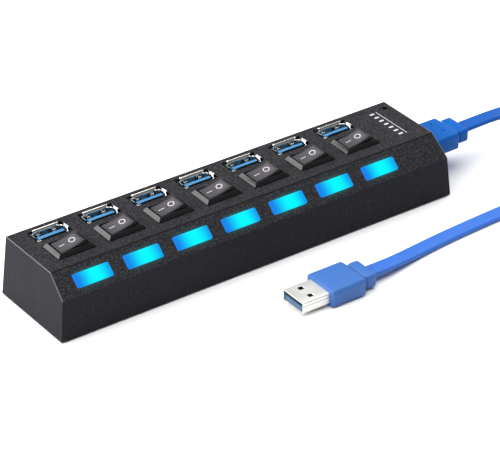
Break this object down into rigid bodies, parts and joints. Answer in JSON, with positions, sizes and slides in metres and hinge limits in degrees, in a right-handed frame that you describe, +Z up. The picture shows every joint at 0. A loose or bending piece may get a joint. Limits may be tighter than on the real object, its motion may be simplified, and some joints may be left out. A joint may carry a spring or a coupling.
{
  "type": "usb hub",
  "caption": "Desktop USB hub: a long black box with a row of upright sockets, each with a rocker switch and a blue light bar, on a flat blue lead with a plug.",
  "frame": {"origin": "centre of the base at table level, without the lead", "axes": "+X along the row of sockets towards the lead's end, -Y towards the sloped front, +Z up"},
  "size_m": [0.2953, 0.0775, 0.0278],
  "materials": {
    "housing_black": "fine moulded texture",
    "cover_black": "fine moulded texture",
    "screw_steel": "zinc plated",
    "foot_rubber": "matt",
    "board_green": "solder mask",
    "chip_black": "moulded epoxy",
    "tin_can": "tinned",
    "capacitor_can": "satin",
    "jack_black": "moulded",
    "contact_tin": "tinned",
    "led_clear": "clear epoxy",
    "pipe_clear": "clear",
    "contact_gold": "gold plated",
    "moulding_blue": "satin moulded",
    "wire_cover": "satin",
    "lead_blue": "satin",
    "socket_steel": "bright nickel",
    "tongue_blue": "moulded",
    "switch_black": "moulded",
    "rocker_grey": "satin, white marks",
    "window_glow": "translucent, lit from behind"
  },
  "bodies": {
    "housing": {"top_shell": "housing_black", "bottom_cover": "cover_black", "cover_screws": "screw_steel", "rubber_feet": "foot_rubber", "main_board": "board_green", "hub_controllers": "chip_black", "crystals": "tin_can", "capacitors": "capacitor_can", "power_regulator": "chip_black", "dc_jack": "jack_black", "dc_jack_pin": "contact_tin", "status_leds": "led_clear", "power_led": "led_clear", "power_light_pipe": "pipe_clear", "port_contacts": "contact_gold", "switch_terminals": "contact_tin", "cable_grip": "moulding_blue", "signal_wires": "wire_cover", "cable": "lead_blue", "plug_moulding": "moulding_blue", "plug_shell": "socket_steel", "plug_insulator": "tongue_blue", "plug_contacts": "contact_gold", "port_shell_1": "socket_steel", "port_core_1": "tongue_blue", "switch_body_1": "switch_black", "led_lens_1": "window_glow", "port_shell_2": "socket_steel", "port_core_2": "tongue_blue", "switch_body_2": "switch_black", "led_lens_2": "window_glow", "port_shell_3": "socket_steel", "port_core_3": "tongue_blue", "switch_body_3": "switch_black", "led_lens_3": "window_glow", "port_shell_4": "socket_steel", "port_core_4": "tongue_blue", "switch_body_4": "switch_black", "led_lens_4": "window_glow", "port_shell_5": "socket_steel", "port_core_5": "tongue_blue", "switch_body_5": "switch_black", "led_lens_5": "window_glow", "port_shell_6": "socket_steel", "port_core_6": "tongue_blue", "switch_body_6": "switch_black", "led_lens_6": "window_glow", "port_shell_7": "socket_steel", "port_core_7": "tongue_blue", "switch_body_7": "switch_black", "led_lens_7": "window_glow"},
    "rocker_1": {"rocker_1": "rocker_grey"},
    "rocker_2": {"rocker_2": "rocker_grey"},
    "rocker_3": {"rocker_3": "rocker_grey"},
    "rocker_4": {"rocker_4": "rocker_grey"},
    "rocker_5": {"rocker_5": "rocker_grey"},
    "rocker_6": {"rocker_6": "rocker_grey"},
    "rocker_7": {"rocker_7": "rocker_grey"}
  },
  "joints": [
    {"name": "switch_1_rock", "type": "hinge", "parent": "housing", "child": "rocker_1", "pos_m": [-0.0707, -0.0001, 0.0235], "axis": [0, 1, 0], "range_deg": [0, 26]},
    {"name": "switch_2_rock", "type": "hinge", "parent": "housing", "child": "rocker_2", "pos_m": [-0.0495, -0.0001, 0.0235], "axis": [0, 1, 0], "range_deg": [0, 26]},
    {"name": "switch_3_rock", "type": "hinge", "parent": "housing", "child": "rocker_3", "pos_m": [-0.0283, -0.0001, 0.0235], "axis": [0, 1, 0], "range_deg": [0, 26]},
    {"name": "switch_4_rock", "type": "hinge", "parent": "housing", "child": "rocker_4", "pos_m": [-0.0071, -0.0001, 0.0235], "axis": [0, 1, 0], "range_deg": [0, 26]},
    {"name": "switch_5_rock", "type": "hinge", "parent": "housing", "child": "rocker_5", "pos_m": [0.0141, -0.0001, 0.0235], "axis": [0, 1, 0], "range_deg": [0, 26]},
    {"name": "switch_6_rock", "type": "hinge", "parent": "housing", "child": "rocker_6", "pos_m": [0.0353, -0.0001, 0.0235], "axis": [0, 1, 0], "range_deg": [0, 26]},
    {"name": "switch_7_rock", "type": "hinge", "parent": "housing", "child": "rocker_7", "pos_m": [0.0565, -0.0001, 0.0235], "axis": [0, 1, 0], "range_deg": [0, 26]}
  ]
}
